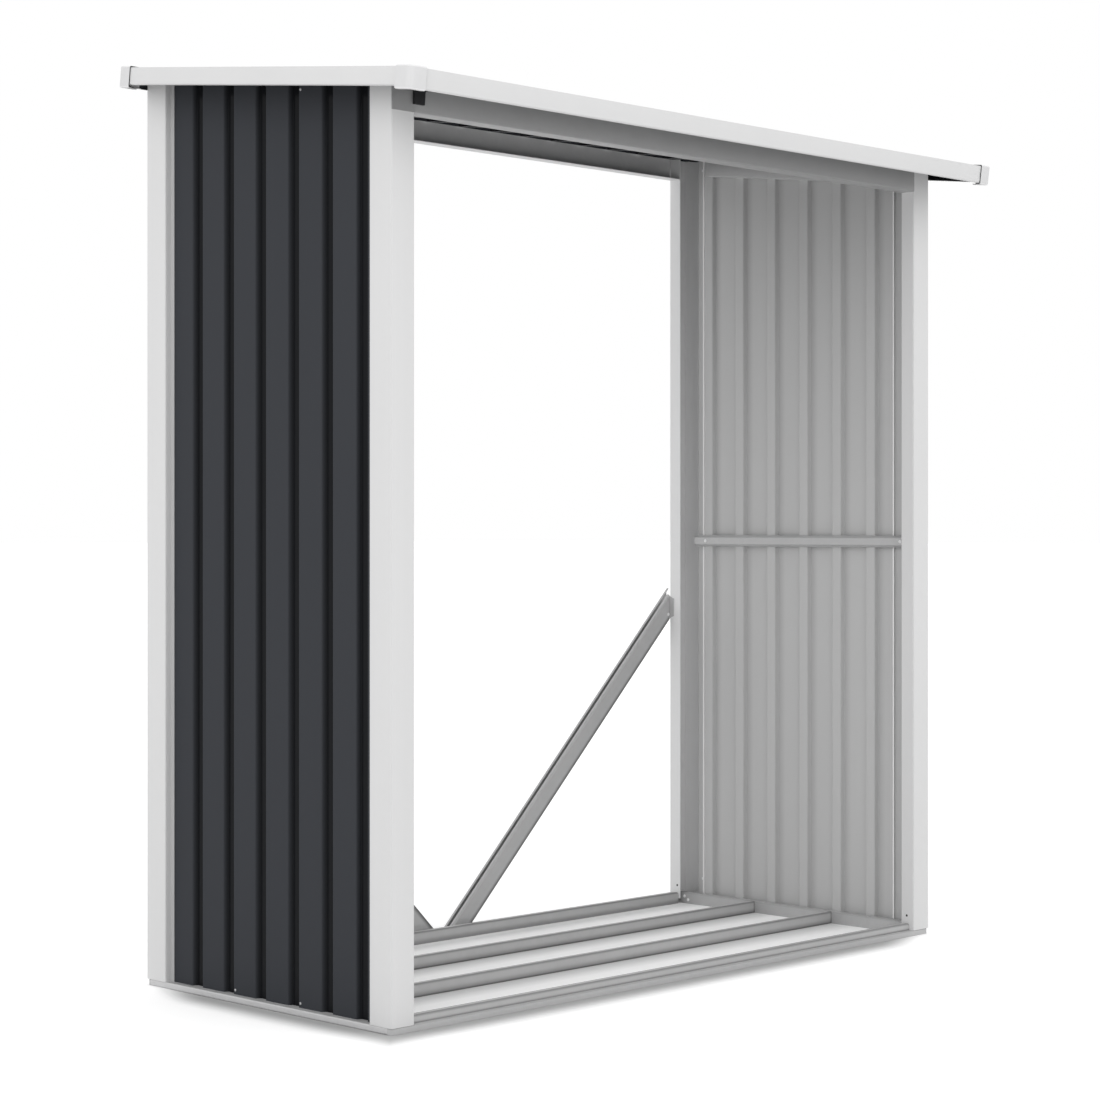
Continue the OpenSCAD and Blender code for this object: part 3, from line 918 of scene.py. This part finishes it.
def long_trim(node, back):
    """Trim along the front edge or the back edge."""
    section = trim_section(trim_front_h, back_low if back else trim_low)
    place = lambda a, b, run: on_roof(run, roof_len - a if back else a, b)
    reach = half_roof - trim_end
    past = (reach - white_from) / (2 * reach)
    grid = straight(section, -reach, reach, place, (0, past, 1 - past, 1))
    # Between the posts the back trim's dark inner side is painted shade over the back beam.
    inside = (0, 1, 0) if back else 1
    sheet_piece(node, [grid], [white_paint, anthracite_paint], [(0, inside, 0)])


def side_trim(node, right):
    """Trim up a sloping end of the roof."""
    place = mirrored(lambda a, b, run: on_roof(a - half_roof, run, b), right)
    margin = trim_top + cap_gap
    grid = straight(trim_section(trim_side_h), margin, roof_len - margin, place)
    sheet_piece(node, [grid], [white_paint, anthracite_paint])


for back, row in ROWS:
    long_trim(f"{row}_roof_trim", back)
for right, hand in HANDS:
    side_trim(f"{hand}_roof_trim", right)
print(f"trims: {trim_front_h:.4f} m front and back, {trim_side_h:.4f} m at the ends")

# %% [markdown]
# Moulded caps cover the corners of the roof. A cap is the trim's own section, a little larger, carried
# round a corner. Each point of the section runs on its own radius, which is what a mitred sweep needs; a
# curve with a bevel profile would pinch on the inside of so tight a corner.

# %% Corner caps
cap_l = 36 * MM
cap_t = 2 * MM
cap_out = cap_gap + cap_t


def corner_cap(node, right, back):
    """Hood carried round the corner of two trims: a top plate, a face and a narrow lower lip."""
    top, low = cap_out, -trim_front_h - cap_out
    deep = cap_l + cap_out - 2 * thin_gap
    section = folded([(deep, top), (0.0, top), (0.0, low), (trim_low + cap_out, low)], cap_t)
    route = [(-cap_out, cap_l), (-cap_out, -cap_out), (cap_l, -cap_out)]
    def place(x, up, out):
        return on_roof(x - half_roof, roof_len - up if back else up, out)
    grid = round_route(section, route, cap_r, mirrored(place, right), steps=10)
    # The white plastic paints a highlight along the cap's folds.
    sheet_piece(node, [grid], [white_plastic, dark_plastic], [(0, 0, 1)])


for corner, right, back in CORNERS:
    corner_cap(f"{corner}_corner_cap", right, back)
print(f"caps: 4, round corners of {cap_r:.3f} m")

# %% [markdown]
# ## Screws and holes
# Small screws hold the walls, rails and braces. One head is a surface of two parameters, the way from the
# rim to the middle and the angle, and the cross recess is taken off its height. All heads are made at once:
# the head's points are turned and moved by one array of seats and one of directions. Copying an object
# would do as well, but joined heads stay one light piece.

# %% Heads on their seats
rings = 9
segments = 32


def heads(name, seats, radius, rise, finish):
    """Domed heads with a cross recess, each on a seat given as a point and a level outward direction.

    From rim to middle the radius goes as a cosine and the height as a sine. Within the cross, where the
    smaller of the two offsets is under the arm's half width, the height drops by under half of the rise.
    """
    seats = np.asarray(seats, float)
    middle, out = seats[:, :3], seats[:, 3:]
    bend = np.linspace(0, 0.48 * np.pi, rings)[:, None]
    ring = np.arange(segments)
    angle = ring * 2 * np.pi / segments
    r = radius * np.cos(bend) + 0 * angle
    x, y = r * np.cos(angle), r * np.sin(angle)
    arm_w = 0.2 * radius
    arm_l = 0.66 * radius
    deep = 0.45
    arm = np.clip((arm_w - np.minimum(np.abs(x), np.abs(y))) / (0.06 * radius), 0, 1)
    arm = arm * np.clip((arm_l - r) / (0.1 * radius), 0, 1)
    z = rise * (np.sin(bend) - deep * arm)
    u = np.cross((0.0, 0.0, 1.0), out)
    v = np.cross(out, u)
    parts = [part[None, ..., None] * way[:, None, None] for part, way in ((x, u), (y, v), (z, out))]
    points = (middle[:, None, None] + sum(parts)).reshape(-1, 3)
    start = (np.arange(len(seats))[:, None, None] * rings + np.arange(rings - 1)[:, None]) * segments
    after = (ring + 1) % segments
    quads = np.stack([start + ring, start + after, start + after + segments, start + ring + segments], -1)
    first = np.arange(len(seats))[:, None] * rings * segments
    caps = np.concatenate([first + ring[::-1], first + ring + (rings - 1) * segments])
    piece = mesh_piece(name, points, quads.reshape(-1, 4).tolist() + caps.tolist(), [finish])


def both_sides(seats):
    """The seats and their mirror images on the right."""
    seats = np.array(seats, float)
    return np.concatenate([seats, seats * np.array([-1, 1, 1, -1, 1, 1])])


print("points on one head:", rings * segments)

# %% [markdown]
# The seats are written for the left side and mirrored. On the wall's outside, screws sit beside every second
# valley, low down, and one is under the roof. Inside, they hold the mid rails, the posts' inner flanges, the
# side rails and the braces. The holes low in the posts' returns are shown as flat dark discs, painted shade
# in place of open holes.

# %% Screws and holes
def on_left(x, y, z, out=(1.0, 0.0, 0.0)):
    """Seat measured from the outer face of the left wall and the front face of the posts."""
    return (x - half_l, y + y_front, z, *out)


depth = y_back - y_front
outwards = (-1.0, 0.0, 0.0)
forwards = (0.0, -1.0, 0.0)
beside_valley = 20.5 * MM
wall_z = 20 * MM
below_roof = 19 * MM
from_rail_front = 7 * MM
from_rail_back = 34 * MM
in_flange = 6.5 * MM
flange_z = (60 * MM, 1750 * MM)
channel_seats = ((36 * MM, 17 * MM), (47 * MM, 9 * MM))
tab_in = 5 * MM
tab_z = 690 * MM
hole_y = (19 * MM, depth - 24 * MM)
hole_z = 43 * MM

beside = panel_edge + first_valley + wall_pitch * np.array([2, 4]) - beside_valley
under_roof = roof_underside(y_front + beside[0]) - below_roof
wall_seats = [on_left(panel_x, y, wall_z, outwards) for y in beside]
wall_seats.append(on_left(panel_x, beside[0], under_roof, outwards))
rail_lo, rail_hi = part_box("left_mid_rail")
rail_z = (rail_lo.z + rail_hi.z) / 2
rail_ends = np.array([rail_lo.y + from_rail_front, rail_hi.y - from_rail_back]) - y_front
flange_y = depth - post_side - inner_flange + in_flange
seats = [on_left(rail_hi.x + half_l, y, rail_z) for y in rail_ends]
seats += [on_left(inner_x + frame_t, flange_y, z) for z in flange_z]
seats += [on_left(channel_x, depth - y, z) for y, z in channel_seats]
seats.append(on_left(post_face + tab_in, depth, tab_z, forwards))
holes = [on_left(post_face, y, hole_z) for y in hole_y]

heads("wall_screws", both_sides(wall_seats), 2.6 * MM, 1.5 * MM, galvanised)
heads("frame_screws", both_sides(seats), 3.8 * MM, 2.0 * MM, screw_zinc)
# Flat dark discs stand in for the holes as painted shade.
heads("post_holes", both_sides(holes), 2.6 * MM, 0.3 * MM, dark_plastic)
print("screws:", 2 * len(seats + wall_seats), "holes:", 2 * len(holes))

# %% [markdown]
# ## The studio
# The store stands on a plain pale floor under soft light. The floor adds light of its own for the camera
# and for reflections, most of it away from the store, so that it reads as white and still keeps the shadow
# at the base. A lamp could draw that shadow, but it would put hard edges on the store as well. So the
# floor's material paints shadow onto its colour instead, from two distances from the store's outline, to the
# seen sides and to the far ones, worked out from Object coordinates.

# %% Floor
def camera_white(tree, lit, strength):
    """Strength for rays that see the background: the camera's, mirrors' and clear surfaces' rays."""
    path = add_node(tree, "ShaderNodeLightPath").outputs
    seen = joined(tree, "MAXIMUM", path["Is Camera Ray"], path["Is Glossy Ray"])
    seen = joined(tree, "MAXIMUM", seen, path["Is Transmission Ray"])
    return stepped(tree, seen, 0.0, 1.0, lit, strength)


def soft(tree, value, start, end, low, high):
    """Smooth step from low to high while a distance goes from start to end, in millimetres."""
    return stepped(tree, value, start * MM, end * MM, low, high, "SMOOTHSTEP")


def product(tree, first, *others):
    """Masks multiplied together."""
    for other in others:
        first = joined(tree, "MULTIPLY", first, other)
    return first


def beyond(tree, *edges):
    """Distance outside the further of two edges, each given as an axis, its sign and its offset."""
    return joined(tree, "MAXIMUM", *[joined(tree, "MULTIPLY_ADD", *edge) for edge in edges])


FLOOR_SIZE = 120.0
FLOOR_DROP = 0.2 * MM
FLOOR_TONE = (0.93, 0.93, 0.93)
edge_x = np.array([-1, 1, 1, -1]) * FLOOR_SIZE
edge_y = np.array([-1, -1, 1, 1]) * FLOOR_SIZE
floor_mesh = bpy.data.meshes.new("floor")
floor_mesh.from_pydata(np.stack([edge_x, edge_y, 0 * edge_x - FLOOR_DROP], -1).tolist(), [], [range(4)])
floor = bpy.data.objects.new("floor", floor_mesh)
bpy.context.scene.collection.objects.link(floor)
print(f"floor: {2 * FLOOR_SIZE:.0f} m square")

# %% [markdown]
# The floor's own light comes up over about 80 mm from the seen sides and at once behind the far sides, and a
# weaker glow lies inside the outline. A painted shadow dims the floor by half at the outline and fades over
# about the same distance, a little weaker before each bar. Near the far corners the distance is stretched,
# so that the painted shadow tapers off there.

# %% Floor finish
GLOW = 0.35
GLOW_INSIDE = 0.13
EDGE_SHADOW = 0.5
BAR_SHADOW = 0.42
CORNER_TAPER = 65 * MM

floor_finish = bpy.data.materials.new("floor_white")
floor_finish.use_nodes = True
tree = floor_finish.node_tree
shader = tree.nodes["Principled BSDF"].inputs
shader["Roughness"].default_value = 0.9
shader["Emission Color"].default_value = (1, 1, 1, 1)
place = add_node(tree, "ShaderNodeTexCoord").outputs["Object"]
axes = add_node(tree, "ShaderNodeSeparateXYZ", [(0, place)]).outputs
seen_sides = beyond(tree, (axes["X"], -1.0, -half_l), (axes["Y"], -1.0, y_front))
far_sides = beyond(tree, (axes["X"], 1.0, -half_l), (axes["Y"], 1.0, -y_back))
outside = joined(tree, "MAXIMUM", seen_sides, far_sides)
seen_sides = joined(tree, "ADD", seen_sides, soft(tree, far_sides, -220, 0, 0.0, CORNER_TAPER))

ahead_lit = soft(tree, seen_sides, 15, 95, 0.0, GLOW)
behind_lit = soft(tree, far_sides, -5, 12, 0.0, GLOW)
inside_lit = soft(tree, outside, -40, -10, GLOW_INSIDE, 0.0)
lit = joined(tree, "ADD", joined(tree, "MAXIMUM", ahead_lit, behind_lit), inside_lit)
glow = product(tree, camera_white(tree, 0.0, 1.0), lit)

# Painted shadow on the floor's colour, at the outline and before each bar.
painted_shadow = product(tree, soft(tree, seen_sides, -25, -5, 0.0, EDGE_SHADOW), soft(tree, seen_sides, 0, 85, 1.0, 0.0),
              soft(tree, far_sides, -5, 12, 1.0, 0.0))
for bar in ("front_floor_bar", "back_floor_bar", "back_base_rail"):
    ahead = joined(tree, "SUBTRACT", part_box(bar)[0].y, axes["Y"])
    before = product(tree, soft(tree, ahead, -8, 0, 0.0, BAR_SHADOW), soft(tree, ahead, 0, 95, 1.0, 0.0),
                     soft(tree, outside, -60, -20, 1.0, 0.0))
    painted_shadow = joined(tree, "MAXIMUM", painted_shadow, before)
tint = add_node(tree, "ShaderNodeVectorMath",
                [(0, FLOOR_TONE), ("Scale", joined(tree, "SUBTRACT", 1.0, painted_shadow))], operation="SCALE")
tree.links.new(tint.outputs[0], shader["Base Color"])
tree.links.new(glow, shader["Emission Strength"])
floor_mesh.materials.append(floor_finish)
print("floor finish:", len(tree.nodes), "nodes")

# %% [markdown]
# The world lights the store evenly, like the inside of a white tent, and is plain white for the camera. A
# picture of a studio could light it too, but plain white needs no file.

# %% World
world = bpy.data.worlds.new("studio")
world.use_nodes = True
background = world.node_tree.nodes["Background"]
background.inputs["Color"].default_value = (1, 1, 1, 1)
world.node_tree.links.new(camera_white(world.node_tree, 0.88, 1.0), background.inputs["Strength"])
bpy.context.scene.world = world
print("world:", world.name)

# %% [markdown]
# ## Lamps
# Most of the light comes from the world. Two large area lamps in front add a little to the faces that look
# at them, so that neighbouring faces differ. A small lamp would draw hard shadows.

# %% Lamps
def softbox(name, place, aim, size, power):
    """Square area lamp that faces a point."""
    lamp = bpy.data.lights.new(name, "AREA")
    lamp.size = size
    lamp.energy = power
    holder = bpy.data.objects.new(name, lamp)
    bpy.context.scene.collection.objects.link(holder)
    holder.location = place
    holder.rotation_euler = (Vector(aim) - Vector(place)).to_track_quat("-Z", "Y").to_euler()


middle = (0.0, 0.05, 0.9)
softbox("front_left_box", (-6.0, -2.6, 4.5), middle, 4.0, 60)
softbox("front_right_box", (-0.5, -6.0, 5.0), middle, 4.0, 45)
print("lamps:", [lamp.name for lamp in bpy.data.lights])

# %% [markdown]
# ## Camera
# The camera looks level, so uprights stay upright, and the lens is shifted a little instead of tilted. Its
# place was solved from the store's edges. A longer lens from further off would fill the same picture, but
# the edges would then run more nearly parallel than they do in the photograph.

# %% Camera at the photograph's angle
lens_mm = 82.72
lens_shift = -0.0197
eye_left = 3.7785
eye_ahead = 3.3280
eye_up = 0.896
heading = math.atan2(0.71261, 0.70156)
camera_data = bpy.data.cameras.new("camera")
camera_data.sensor_width = 36.0
camera_data.lens = lens_mm
camera_data.shift_y = lens_shift
camera_data.clip_end = 500.0
camera = bpy.data.objects.new("camera", camera_data)
bpy.context.scene.collection.objects.link(camera)
camera.location = (-eye_left, y_front - eye_ahead, eye_up)
camera.rotation_euler = (math.radians(90), 0.0, -heading)
bpy.context.scene.camera = camera
bpy.context.scene.view_settings.view_transform = "Standard"
print(f"camera: {lens_mm} mm lens, turned {math.degrees(heading):.1f} degrees to the right")
